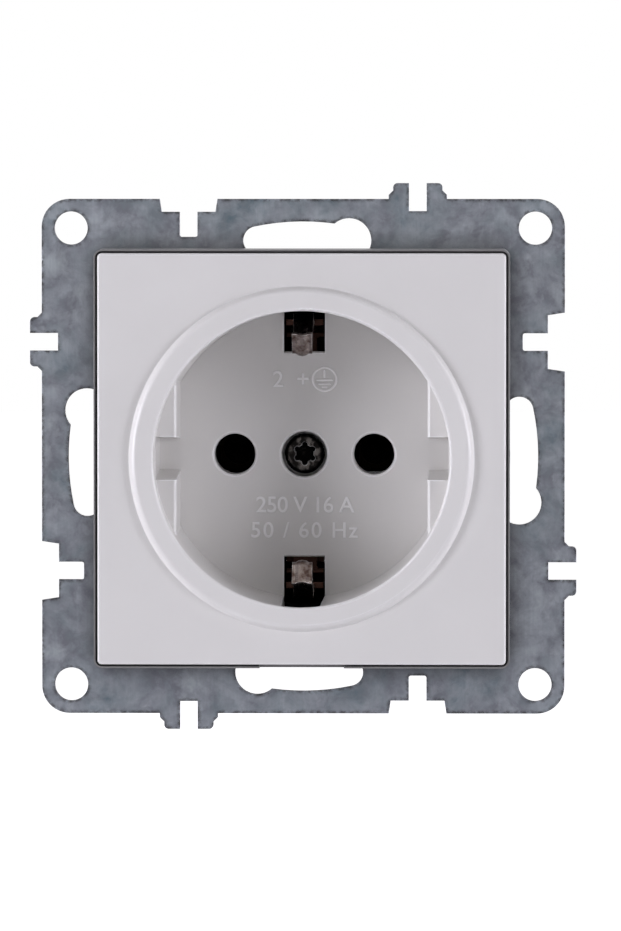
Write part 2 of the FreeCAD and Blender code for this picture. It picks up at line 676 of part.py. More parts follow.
def adapter():
    """Frame on the steel ring. Its ledge carries the cover and its thin lip stands round it."""
    piece = body("adapter_frame")
    lip_front = "(%s + lip_drop)" % face
    half_x = "(cover_width / 2 + lip_gap + lip_wall)"
    half_y = "(cover_height / 2 + lip_gap + lip_wall)"
    slab(piece, "walls", lip_front, sheet_front, centred(half_x, half_y, "cover_corner + lip_gap + lip_wall"))
    cut(piece, "cover_seat", lip_front, cover_back,
        centred("cover_width / 2 + lip_gap", "cover_height / 2 + lip_gap", "cover_corner + lip_gap"))
    cut(piece, "hollow", cover_back, "-(ring_sheet + frame_web)",
        centred(half_x + " - frame_wall", half_y + " - frame_wall", "frame_wall"))
    cut(piece, "opening", "-(ring_sheet + frame_web)", sheet_front, disc("(%s + play)" % spigot))
    cut(piece, "rivet_room", "-(ring_sheet + frame_web)", sheet_front, *rivet_discs("rivet_head + play"))
    cut(piece, "pry_notch", lip_front, "%s + pry_depth" % lip_front, rectangle(
        "-pry_half", "pry_half", "-(%s + play)" % half_y, "-(cover_height / 2 - lip_gap)"))


def base_cup():
    """Moulded cup round the well, with the spigot and flange that carry the steel ring."""
    piece = body("base_cup")
    spigot_front = "-(ring_sheet + spigot_stand)"
    slab(piece, "spigot", spigot_front, "0", disc(spigot))
    slab(piece, "flange", "0", "flange_sheet", centred(flange_half, flange_half, "flange_corner"))
    slab(piece, "cup", "flange_sheet", deck, disc(cup_outer))
    for title, angle in (("near_rib", "rib_angle"), ("far_rib", "(90 - rib_angle)")):
        rib = slab(piece, title, "flange_sheet - play", deck, radial(angle))
        around(piece, title + "s", [rib], 360.0, 4)
    cut(piece, "bore", spigot_front, floor_back, disc(cup_bore))
    cut(piece, "seat", floor_back, deck, disc(seat_bore))
    cut(piece, "rivet_holes", "0", "flange_sheet", *rivet_discs("rivet_radius + screw_play"))
    peg = slab(piece, "peg", "%s - play" % deck, "%s + peg_length" % deck,
               disc("peg_radius", peg_place, peg_place))
    around(piece, "pegs", [peg], 360.0, 4)


def radial(angle):
    """Outline of a rib that leaves the cup at that angle."""
    def corner(out, side):
        turn = "%s * 1 deg" % angle
        return ("(%s) * cos(%s) - (%s) * sin(%s)" % (out, turn, side, turn),
                "(%s) * sin(%s) + (%s) * cos(%s)" % (out, turn, side, turn))
    inner, outer = "%s - cup_wall / 2" % cup_outer, "%s + rib_reach" % cup_outer
    half = "rib_sheet / 2"
    return loop(corner(inner, "-" + half), corner(outer, "-" + half),
                corner(outer, half), corner(inner, half))


def base():
    """Moulded block behind the cup, with the contact chambers, terminal bays and wire entries."""
    def rear(edge):
        return at_depth(edge, value(base_back))

    def entry_mouth(edge):
        places = (wire_place, wire_side)
        return rear(edge) and any(on_circle(edge, "wire_radius", place) for place in places)

    piece = body("base_housing")
    slab(piece, "block", deck, base_back, centred(block_half, block_half, "block_corner"))
    edge_finish(piece, "Fillet", "rear_edge", "block_round", rear)
    pocket_inner = "(%s - %s - chamber_room)" % (pin_place, leaf_outer)
    chamber = cut(piece, "chamber", deck, chamber_back, rectangle(
        pocket_inner, tail_outer + " + play", "-" + chamber_half, chamber_half, "play"))
    mirrored(piece, "chambers", [chamber], "YZ_Plane")
    cut(piece, "earth_chamber", deck, chamber_back, rectangle(
        "-(strip_width / 2 + play)", "strip_width / 2 + play",
        "-(%s + play)" % tail_outer, "-(%s - strip_sheet - play)" % tail_outer))
    bay = side_cut(piece, "bay", tail_outer, block_half, rectangle(
        bay_front, chamber_back, "-bay_half", "bay_half", "chamber_room"))
    around(piece, "bays", [bay], 180.0, 3)
    entry = cut(piece, "wire_entry", chamber_back, base_back,
                disc("wire_radius", wire_place, wire_side), disc("wire_radius", wire_place, "-" + wire_side))
    around(piece, "wire_entries", [entry], 180.0, 3)
    edge_finish(piece, "Chamfer", "funnels", "entry_funnel", entry_mouth)
    cut(piece, "nut_seat", deck, "%s + nut_length" % lug_back, disc("nut_radius + screw_play"))
    cut(piece, "tip_room", "%s + nut_length" % lug_back, "%s + nut_length + tip_room + play" % lug_back,
        disc("screw_radius + play"))
    cut(piece, "fastener_holes", deck, "%s + fastener_length + play" % deck,
        disc("fastener_radius + screw_play", "0", "fastener_place"),
        disc("fastener_radius + screw_play", "0", "-fastener_place"))
    peg_hole = cut(piece, "peg_hole", deck, "%s + peg_length + play" % deck,
                   disc("peg_radius + screw_play", peg_place, peg_place))
    around(piece, "peg_holes", [peg_hole], 360.0, 4)


def insulator():
    """Cover plate of the contact chambers, with a groove for the earth terminal strip."""
    piece = body("insulator_plate")
    slab(piece, "plate", strip_back, deck, disc(seat_bore + " - play"))
    cut(piece, "pin_openings", strip_back, deck,
        disc("pin_hole_radius + play", pin_place), disc("pin_hole_radius + play", "-" + pin_place))
    cut(piece, "strip_groove", strip_back, lug_back, rectangle(
        "-(strip_width / 2 + play)", "strip_width / 2 + play", "-(%s + play)" % tail_outer, "lug_head + play"))
    cut(piece, "strip_slot", lug_back, deck, rectangle(
        "-(strip_width / 2 + play)", "strip_width / 2 + play",
        "-(%s + play)" % tail_outer, "-(%s - strip_sheet - play)" % tail_outer))
    cut(piece, "nut_opening", lug_back, deck, disc("nut_radius + play"))
    cut(piece, "fastener_openings", strip_back, deck,
        disc("fastener_radius + play", "0", "fastener_place"),
        disc("fastener_radius + play", "0", "-fastener_place"))


def line_contact(side, turn):
    """Bronze contact: two leaves that grip the pin, a web along the rear wall and a terminal tail."""
    piece = body("line_contact_" + side)

    def leaf(sign):
        """Outline of one leaf, from its root forward and back along its inner face."""
        def across(half):
            return "%s %s (%s)" % (pin_place, sign, half)
        root = "%s - leaf_straight" % chamber_back
        pinch = "%s + leaf_pinch_place" % leaf_front
        web = "%s - leaf_sheet" % chamber_back
        outer = [(across(leaf_outer), web), (across(leaf_outer), root),
                 (across("leaf_pinch_half + leaf_sheet"), pinch), (across(leaf_outer), leaf_front)]
        inner = [(across("leaf_root_half"), leaf_front), (across("leaf_pinch_half"), pinch),
                 (across("leaf_root_half"), root), (across("leaf_root_half"), web)]
        return outer, inner

    left_outer, left_inner = leaf("-")
    right_outer, right_inner = leaf("+")
    web = "%s - leaf_sheet" % chamber_back
    left_outer[0] = (left_outer[0][0], chamber_back)
    outline = (left_outer + left_inner + right_inner[::-1] + right_outer[::-1]
               + [(tail_outer, web), (tail_outer, chamber_back)])
    sketch = sketch_on(piece, "XY_Plane", "leaves_sketch", "-leaf_width / 2")
    draw(sketch, outline)
    leaves = piece.newObject("PartDesign::Pad", "leaves")
    leaves.Profile = sketch
    leaves.setExpression("Length", cell("leaf_width"))
    side_slab(piece, "tail", tail_inner, tail_outer, rectangle(
        bay_front + " + play", chamber_back, "-tail_width / 2", "tail_width / 2"))
    side_cut(piece, "thread", tail_inner, tail_outer, disc(shank_hole, bay_middle, "0"))
    cut(piece, "tip_hole", web, chamber_back, disc("web_hole", pin_place))
    piece.Placement = about_y(turn)


def contact_spring(side, turn):
    """Open steel band that presses the leaves together."""
    piece = body("contact_spring_" + side)
    front = "%s - leaf_straight + leaf_sheet" % chamber_back
    rear = front + " + spring_width"
    inner_x = "(%s + screw_play)" % leaf_outer
    inner_z = "(leaf_width / 2 + screw_play)"
    slab(piece, "band", front, rear,
         rectangle("%s - %s - spring_sheet" % (pin_place, inner_x),
                   "%s + %s + spring_sheet" % (pin_place, inner_x),
                   "-(%s + spring_sheet)" % inner_z, "%s + spring_sheet" % inner_z, "spring_sheet * 2"),
         rectangle("%s - %s" % (pin_place, inner_x), "%s + %s" % (pin_place, inner_x),
                   "-" + inner_z, inner_z))
    cut(piece, "mouth", front, rear, rectangle(
        "%s - spring_mouth_half" % pin_place, "%s + spring_mouth_half" % pin_place,
        "%s - play" % inner_z, "%s + spring_sheet + play" % inner_z))
    piece.Placement = about_y(turn)


def clamp_plate(name, turn):
    """Plate that the terminal screw presses on the wires, with a turned-down lip."""
    piece = body("clamp_plate_" + name)
    front = "%s - clamp_length_half" % bay_middle
    rear = "%s + clamp_length_half" % bay_middle
    side_slab(piece, "plate", clamp_inner, clamp_outer,
              rectangle(front, rear, "-clamp_half", "clamp_half", "clamp_corner"))
    side_slab(piece, "lip", "%s - clamp_lip" % clamp_inner, clamp_inner, rectangle(
        front, "%s + clamp_lip" % front, "-(clamp_half - clamp_lip)", "clamp_half - clamp_lip"))
    side_cut(piece, "screw_hole", clamp_inner, clamp_outer, disc(shank_hole, bay_middle, "0"))
    piece.Placement = about_y(turn)


def terminal_screw(name, turn, grip):
    """Slotted cheese-head screw across a terminal bay."""
    piece = body("terminal_screw_" + name)
    side_slab(piece, "shank", grip, clamp_outer, disc("screw_radius", bay_middle, "0"))
    side_slab(piece, "head", clamp_outer, terminal_front, disc("terminal_head", bay_middle, "0"))
    side_cut(piece, "slot", "%s - slot_depth" % terminal_front, terminal_front, rectangle(
        "%s - slot_half" % bay_middle, "%s + slot_half" % bay_middle,
        "-(terminal_head + play)", "terminal_head + play"))
    piece.Placement = about_y(turn)


def earth_strip():
    """Copper-alloy strip behind the floor, two arms through the windows, two ribbed clips."""
    piece = body("earth_bracket")
    middle = "(%s + strip_sheet / 2)" % strip_front
    arm_foot = "(rim_radius - arm_foot_inset)"
    arm = bent(piece, "arm", "XY_Plane", "0",
               [("-strip_width / 2", strip_front), ("strip_width / 2", strip_front),
                ("strip_width / 2", strip_back), ("-strip_width / 2", strip_back)],
               [(middle, "0"), (middle, arm_foot, "bend_radius"),
                ("%s + arm_bend_sink" % floor, arm_place, "bend_radius"), (arm_front, arm_place)])
    root = "%s + strip_sheet" % arm_front
    clip = bent(piece, "clip", "XZ_Plane", "-(%s)" % root, clip_section(),
                [(root, arm_place), ("(%s + %s) / 2" % (shoulder_front, arm_front), arm_place, "bend_radius"),
                 (shoulder_front, "rim_radius - shoulder_inset", "bend_radius"),
                 ("%s + nose_depth" % collar, "rim_radius - nose_inset", "bend_radius"),
                 ("%s + tip_depth" % collar, "rim_radius - tip_inset")])
    mirrored(piece, "lower_arm", [arm, clip], "XY_Plane")
    cut(piece, "holes", strip_front, strip_back, disc(shank_hole),
        disc("fastener_radius + play", "0", "fastener_place"),
        disc("fastener_radius + play", "0", "-fastener_place"))
    past_side = "(strip_width / 2 + neck_round)"
    for title, left, right in (("right_neck", "neck_half", past_side),
                               ("left_neck", "-" + past_side, "-neck_half")):
        neck = cut(piece, title, strip_front, strip_back, rectangle(
            left, right, "neck_start", "%s - bend_radius" % arm_foot, "neck_round"))
        around(piece, title + "s", [neck], 360.0, 2)


def clip_section():
    """Section of a clip across its width: a thin sheet with a crowned bead pressed towards the axis."""
    half = [("clip_width / 2", "0"), ("bead_half + bead_side", "0"), ("bead_half", "bead_shoulder")]
    whole = [("-(%s)" % x, lift) for x, lift in half] + [("0", "bead_crown")] + half[::-1]
    inner = "%s - clip_sheet / 2" % arm_place
    outer = "%s + clip_sheet / 2" % arm_place
    below = [(x, "%s - %s" % (inner, lift)) for x, lift in whole]
    above = [(x, "%s - %s" % (outer, lift)) for x, lift in whole]
    return below + above[::-1]


def bent(piece, title, role, distance, section, path):
    """A sheet section carried along a path of runs and bends in the YZ plane."""
    profile = sketch_on(piece, role, title + "_section", distance)
    draw(profile, section)
    spine = sketch_on(piece, "YZ_Plane", title + "_path")
    runs = draw(spine, path, closed=False)
    bends = sum(1 for corner in path if len(corner) > 2)
    doc.recompute()
    pipe = piece.newObject("PartDesign::AdditivePipe", title)
    pipe.Profile = profile
    pipe.Spine = (spine, ["Edge%d" % i for i in range(1, len(runs) + bends + 1)])
    pipe.Mode = "Standard"
    pipe.Transition = "Right corner"
    return pipe


def earth_lug():
    """Strip from behind the earth strip to the earth terminal."""
    piece = body("earth_terminal_strip")
    half = "strip_width / 2"
    slab(piece, "flat", strip_back, lug_back, rectangle("-" + half, half, "-" + tail_outer, "lug_head"))
    slab(piece, "tail", lug_back, chamber_back, rectangle(
        "-" + half, half, "-" + tail_outer, "-(%s - strip_sheet)" % tail_outer))
    cut(piece, "screw_holes", strip_back, lug_back, disc(shank_hole),
        disc("fastener_radius + play", "0", "-fastener_place"))
    sketch = sketch_on(piece, "XY_Plane", "thread_sketch", "-(%s - strip_sheet)" % tail_outer)
    disc(shank_hole, "0", bay_middle)(sketch)
    thread = piece.newObject("PartDesign::Pocket", "thread")
    thread.Profile = sketch
    thread.setExpression("Length", cell("strip_sheet"))


def strip_screw(name, sign):
    """Screw that holds the earth strip and the insulator on the base."""
    piece = body("bracket_screw_" + name)
    place = sign + "fastener_place"
    front = "%s - fastener_head_sheet" % strip_front
    slab(piece, "head", front, strip_front, disc("fastener_head", "0", place))
    slab(piece, "shank", strip_front, "%s + fastener_length" % deck, disc("fastener_radius", "0", place))
    cut(piece, "slot", front, "%s + fastener_slot_depth" % front, rectangle(
        "-(fastener_head + play)", "fastener_head + play",
        "%s - fastener_slot_half" % place, "%s + fastener_slot_half" % place))


def centre_screw():
    """Pan-head screw with a six-lobed recess."""
    piece = body("centre_screw")
    end = "%s + nut_length + tip_room" % lug_back
    turned(piece, "shape",
           ("0", head_front),
           ("head_radius", head_front, "head_round"),
           ("head_radius", head_seat),
           ("screw_radius", head_seat),
           ("screw_radius", "%s - screw_point" % end),
           ("screw_radius - screw_point", end),
           ("0", end))
    cut(piece, "recess", head_front, "%s + star_depth" % head_front, disc("star_core"))
    lobe = cut(piece, "lobe", head_front, "%s + star_depth" % head_front,
               disc("star_lobe", "0", "star_outer - star_lobe"))
    around(piece, "lobes", [lobe], 360.0, 6)


def centre_nut():
    """Round threaded bush behind the earth terminal strip."""
    piece = body("centre_nut")
    slab(piece, "bush", lug_back, "%s + nut_length" % lug_back, disc("nut_radius"), disc(shank_hole))


def ring_rivet(number, sx, sy):
    """Hollow rivet through the steel ring and the flange."""
    piece = body("frame_rivet_%d" % number)
    x, y = sx + rivet_place, sy + rivet_place
    slab(piece, "front_head", "-(ring_sheet + rivet_head_sheet)", sheet_front, disc("rivet_head", x, y))
    slab(piece, "shank", sheet_front, "flange_sheet", disc("rivet_radius", x, y))
    slab(piece, "rear_head", "flange_sheet", "flange_sheet + rivet_head_sheet", disc("rivet_head", x, y))
    cut(piece, "hollow", "-(ring_sheet + rivet_head_sheet)", "flange_sheet + rivet_head_sheet",
        disc("rivet_bore", x, y))


def about_y(angle):
    return FreeCAD.Placement(Vector(), FreeCAD.Rotation(Vector(0, 1, 0), angle))


mounting_ring()
adapter()
cover()
centre_screw()
centre_nut()
base_cup()
base()
insulator()
for side, turn in (("right", 0), ("left", 180)):
    line_contact(side, turn)
    contact_spring(side, turn)
for terminal, turn, grip in (("right", 0, tail_inner), ("left", 180, tail_inner),
                             ("earth", 90, "%s - strip_sheet" % tail_outer)):
    clamp_plate(terminal, turn)
    terminal_screw(terminal, turn, grip)
earth_strip()
earth_lug()
strip_screw("top", "")
strip_screw("bottom", "-")
for number, (sx, sy) in enumerate([("", ""), ("-", ""), ("-", "-"), ("", "-")], start=1):
    ring_rivet(number, sx, sy)

doc.recompute()
faults = [item.Label for item in doc.Objects if {"Invalid", "Error"} & set(item.State)]
if faults:
    raise RuntimeError("features that failed: " + ", ".join(faults))
for piece in pieces:
    shape = piece.Shape
    if shape.isNull() or not shape.isValid() or len(shape.Solids) != 1:
        raise RuntimeError("not one valid solid: " + piece.Label)

os.makedirs("parts", exist_ok=True)
for piece in pieces:
    piece.Shape.exportStep("parts/%s.step" % piece.Label)
    box = piece.Shape.BoundBox
    print("%-22s %9.2f mm3  x %.2f..%.2f  y %.2f..%.2f  z %.2f..%.2f" % (
        piece.Label, piece.Shape.Volume, box.XMin, box.XMax, box.YMin, box.YMax, box.ZMin, box.ZMax))
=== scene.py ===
# Flush wall socket with its steel ring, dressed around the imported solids.
# Blender works in metres here. The front faces -Y, +Z is up and +X is to the right.
import json
import math

import bpy
import numpy as np
from mathutils import Euler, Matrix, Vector


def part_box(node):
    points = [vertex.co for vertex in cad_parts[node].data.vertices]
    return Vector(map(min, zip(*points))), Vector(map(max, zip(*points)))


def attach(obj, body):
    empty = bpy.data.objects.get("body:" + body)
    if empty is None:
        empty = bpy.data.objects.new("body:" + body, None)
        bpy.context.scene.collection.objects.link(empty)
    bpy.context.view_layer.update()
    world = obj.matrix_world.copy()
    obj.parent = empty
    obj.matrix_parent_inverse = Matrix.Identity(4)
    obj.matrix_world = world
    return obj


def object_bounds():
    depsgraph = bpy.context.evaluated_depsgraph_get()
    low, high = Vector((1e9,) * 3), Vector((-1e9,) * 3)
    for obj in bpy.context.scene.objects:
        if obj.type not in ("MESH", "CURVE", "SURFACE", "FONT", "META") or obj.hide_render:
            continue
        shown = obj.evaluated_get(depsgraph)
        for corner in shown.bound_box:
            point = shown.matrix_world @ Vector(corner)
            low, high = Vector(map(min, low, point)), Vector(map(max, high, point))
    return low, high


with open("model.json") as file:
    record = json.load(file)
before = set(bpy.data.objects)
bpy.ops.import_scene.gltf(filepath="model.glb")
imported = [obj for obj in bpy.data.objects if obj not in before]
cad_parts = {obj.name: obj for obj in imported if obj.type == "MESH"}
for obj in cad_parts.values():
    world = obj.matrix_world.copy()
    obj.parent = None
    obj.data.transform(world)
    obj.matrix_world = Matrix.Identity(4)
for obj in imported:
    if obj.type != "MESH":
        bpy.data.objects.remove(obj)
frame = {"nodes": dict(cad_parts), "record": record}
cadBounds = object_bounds()
nodes = frame["nodes"]
mm = 0.001
print("frame loaded:", len(nodes), "nodes")


# Colours and materials

def linearColour(hexText):
    # sRGB to linear: a dark channel is divided by 12.92, any other is (c + 0.055) / 1.055 to the power 2.4
    channels = [int(hexText[i:i + 2], 16) / 255 for i in (1, 3, 5)]
    return tuple(c / 12.92 if c <= 0.04045 else ((c + 0.055) / 1.055) ** 2.4 for c in channels) + (1.0,)


def newMaterial(name):
    material = bpy.data.materials.new(name)
    material.use_nodes = True
    material.node_tree.nodes.clear()
    return material.node_tree


def addNode(tree, kind, settings=None, links=None):
    # one node of a kind, named without ShaderNode: settings are its own properties or its inputs' values, and
    # a hex colour becomes linear; links join its inputs to sockets, or to the first output of a node.
    # A and B of a colour mix are its inputs 6 and 7, and its colour is output 2
    node = tree.nodes.new("ShaderNode" + kind)
    for key, value in (settings or {}).items():
        if isinstance(value, str) and value.startswith("#"):
            value = linearColour(value)
        if isinstance(key, str) and hasattr(node, key):
            setattr(node, key, value)
        else:
            node.inputs[key].default_value = value
    for key, source in (links or {}).items():
        socket = source.outputs[0] if isinstance(source, bpy.types.Node) else source
        tree.links.new(socket, node.inputs[key])
    return node


def perSize(sizeInMm):
    return 1 / (sizeInMm * mm)  # noise scale on Object coordinates for cells of that size


def wornEdge(tree, radius, low, high):
    # 0 on even ground, 1 on sharp edges, where the normal rounded over radius in mm leaves the surface's own
    rounded = addNode(tree, "Bevel", {"samples": 6, "Radius": radius * mm})
    own = addNode(tree, "NewGeometry").outputs["Normal"]
    same = addNode(tree, "VectorMath", {"operation": "DOT_PRODUCT"}, {0: rounded, 1: own})
    return addNode(tree, "MapRange", {"From Min": 1 - low, "From Max": 1 - high},
                   {"Value": same.outputs["Value"]})


def openness(tree, reach, low, high):
    # 0 deep in a recess or close beside a wall, 1 in the open; reach in mm is how far the walls count
    occlusion = addNode(tree, "AmbientOcclusion", {"samples": 8, "Distance": reach * mm})
    return addNode(tree, "MapRange", {"From Min": low, "From Max": high}, {"Value": occlusion.outputs["AO"]})


def finished(tree, name, settings, links):
    # adds the shader and the output, and gives back the material
    shader = addNode(tree, "BsdfPrincipled", settings, links)
    addNode(tree, "OutputMaterial", None, {"Surface": shader})
    return bpy.data.materials[name]


mouldedAbs = {
    "name": "moulded_abs",
    "pale": "#E0DEDB",
    "shade": "#DDDBD8",
    "flowSize": 18.0,     # faint flow marks of the melt
    "rim": "#FFFFFF",     # painted highlight: the colour of the edges
    "paintedHighlightEdge": {"radius": 0.32, "low": 0.0, "high": 0.05},   # from the even ground to the painted highlight
    "paintedHighlightOpen": {"reach": 0.8, "low": 0.78, "high": 0.95},    # an edge in a corner gets no painted highlight
    "gap": None,          # openness from the painted shade, in the colour below, to the unshaded colour, where the piece borders a gap
    "gapShadeColour": "#141414",
    "grain": 0.16,        # spark-eroded mould texture; the real one is 0.05, too fine to show
    "grainDepth": 0.006,
    "handled": 0.96,      # patches of faintly different gloss
    "roughness": (0.3, 0.31),
    "edge": 0.12,         # radius in mm that shades a sharp edge of the solid as a rounded one
}


def satinPlastic(spec):
    # ABS, injection moulded in a finely eroded mould: satin, even, with painted highlights on its edges
    tree = newMaterial(spec["name"])
    place = addNode(tree, "TexCoord").outputs["Object"]
    flow = addNode(tree, "TexNoise", {"Scale": perSize(spec["flowSize"]), "Detail": 2.0, "Roughness": 0.55},
                   {"Vector": place})
    flowing = addNode(tree, "MapRange", {"From Min": 0.35, "From Max": 0.65}, {"Value": flow})
    ground = addNode(tree, "Mix", {"data_type": "RGBA", 6: spec["shade"], 7: spec["pale"]},
                     {"Factor": flowing}).outputs[2]
    # painted highlight: sharp edges in the open get the rim colour
    outer = addNode(tree, "Math", {"operation": "MULTIPLY"},
                    {0: wornEdge(tree, **spec["paintedHighlightEdge"]), 1: openness(tree, **spec["paintedHighlightOpen"])})
    colour = addNode(tree, "Mix", {"data_type": "RGBA", 7: spec["rim"]},
                     {"Factor": outer, 6: ground}).outputs[2]
    # painted shade where the piece borders a gap, in the gap shade colour
    if spec["gap"]:
        unshaded = openness(tree, **spec["gap"])
        colour = addNode(tree, "Mix", {"data_type": "RGBA", 6: spec["gapShadeColour"]},
                         {"Factor": unshaded, 7: colour}).outputs[2]
    handled = addNode(tree, "TexNoise", {"Scale": perSize(spec["handled"]), "Detail": 3.0, "Roughness": 0.6},
                      {"Vector": place})
    glossy, dull = spec["roughness"]
    gloss = {"From Min": 0.3, "From Max": 0.7, "To Min": glossy, "To Max": dull}
    roughness = addNode(tree, "MapRange", gloss, {"Value": handled})
    grain = addNode(tree, "TexNoise", {"Scale": perSize(spec["grain"]), "Detail": 2.0, "Roughness": 0.6},
                    {"Vector": place})
    rounded = addNode(tree, "Bevel", {"samples": 4, "Radius": spec["edge"] * mm})
    relief = addNode(tree, "Bump", {"Distance": spec["grainDepth"] * mm, "Strength": 0.5},
                     {"Height": grain, "Normal": rounded})
    return finished(tree, spec["name"], {"IOR": 1.53},
                    {"Base Color": colour, "Roughness": roughness, "Normal": relief})


# raised marks of the same moulding, with a paler copy of its colour as painted light: their tops stand free
# and catch more light
paintedLightMark = dict(mouldedAbs, name="moulded_abs_marks", pale="#FCFAF8", shade="#F8F6F4")
# the same plastic in a grey darkened as painted shade, so that its rim reads as the dark gap round the cover;
# painted shade where the cover borders on it, and a painted highlight on its edges
frameAbs = dict(mouldedAbs, name="moulded_abs_frame", pale="#777675", shade="#71706F", rim="#807F7E",
                gap={"reach": 1.5, "low": 0.15, "high": 0.5})

blackUrea = {
    "name": "pressed_urea_black",
    "pale": "#26252A",
    "shade": "#17171A",
    "cloudSize": 6.0,     # uneven mixing of the powder
    "fleck": "#3A393D",   # grains of filler at the surface
    "fleckSize": 0.9,
    "deep": "#050505",    # painted shade inside the chambers
    "chamber": {"reach": 8.0, "low": 0.3, "high": 0.8},    # openness from that painted shade to the outer faces
    "shine": 0.5,         # specular level of the outer faces; in the chambers it falls to nothing with the painted shade
    "grain": 0.35,
    "grainDepth": 0.012,
    "roughness": (0.42, 0.6),
    "edge": 0.12,
}
# pressed with a browner filler: brown-black and matt
brownPhenolic = dict(blackUrea, name="pressed_phenolic", pale="#241F1C", shade="#161312", fleck="#38302A")


def pressedThermoset(spec):
    # pressed thermoset with mineral filler: matt and dark, with pale specks of filler at the surface and
    # painted shade in its chambers
    tree = newMaterial(spec["name"])
    place = addNode(tree, "TexCoord").outputs["Object"]
    cloud = addNode(tree, "TexNoise", {"Scale": perSize(spec["cloudSize"]), "Detail": 4.0, "Roughness": 0.55},
                    {"Vector": place})
    clouded = addNode(tree, "MapRange", {"From Min": 0.3, "From Max": 0.7}, {"Value": cloud})
    ground = addNode(tree, "Mix", {"data_type": "RGBA", 6: spec["shade"], 7: spec["pale"]},
                     {"Factor": clouded}).outputs[2]
    filler = addNode(tree, "TexNoise", {"Scale": perSize(spec["fleckSize"]), "Detail": 1.0,
                                        "Roughness": 0.55}, {"Vector": place})
    flecked = addNode(tree, "MapRange", {"From Min": 0.68, "From Max": 0.76}, {"Value": filler})
    outer = addNode(tree, "Mix", {"data_type": "RGBA", 7: spec["fleck"]},
                    {"Factor": flecked, 6: ground}).outputs[2]
    # painted shade in the chambers: the colour falls to the deep colour and the specular level to nothing
    inOpen = openness(tree, **spec["chamber"])
    colour = addNode(tree, "Mix", {"data_type": "RGBA", 6: spec["deep"]},
                     {"Factor": inOpen, 7: outer}).outputs[2]
    shine = addNode(tree, "Math", {"operation": "MULTIPLY", 1: spec["shine"]}, {0: inOpen})
    glossy, dull = spec["roughness"]
    gloss = {"From Min": 0.3, "From Max": 0.7, "To Min": glossy, "To Max": dull}
    roughness = addNode(tree, "MapRange", gloss, {"Value": cloud})
    grain = addNode(tree, "TexNoise", {"Scale": perSize(spec["grain"]), "Detail": 4.0, "Roughness": 0.65},
                    {"Vector": place})
    rounded = addNode(tree, "Bevel", {"samples": 4, "Radius": spec["edge"] * mm})
    relief = addNode(tree, "Bump", {"Distance": spec["grainDepth"] * mm, "Strength": 0.6},
                     {"Height": grain, "Normal": rounded})
    return finished(tree, spec["name"], {"IOR": 1.6}, {"Base Color": colour, "Roughness": roughness,
                                                       "Normal": relief, "Specular IOR Level": shine})


zincSheet = {
    "name": "blue_passivated_zinc",
    "teal": "#61707A",
    "grey": "#7A8087",
    "violet": "#777881",
    "pale": "#A2A7AD",
    "tintStops": (0.32, 0.45, 0.55, 0.68),    # of these four along the noise
    "cut": "#544F4D",     # sheared edges
    "stain": "#3C3A39",   # dull film along those edges, and painted shade beside the cover
    "patchSize": 9.0,     # interference colours of the passivation, in patches
    "cloudSize": 2.7,     # paler clouds inside the patches
    "warpSize": 7.2,      # bends the outlines of both by up to the shift
    "shift": 4.0,
    "streakSize": 0.35,   # rolling lines of the sheet, drawn out along Z
    "streakStretch": (1.0, 1.0, 0.06),
    "speckSize": 0.9,     # breaks up the stain along the edges
    "stained": {"radius": 0.9, "low": 0.0, "high": 0.06},    # from the clean sheet to that stain
    "beside": {"reach": 4.0, "low": 0.2, "high": 0.88},      # openness from the painted shade, in the stain colour, to the unshaded sheet
    "grainSize": 0.25,    # dull, finely etched surface of the passivation
    "grainDepth": 0.006,
    "roughness": (0.34, 0.5),
    "edge": 0.1,
}


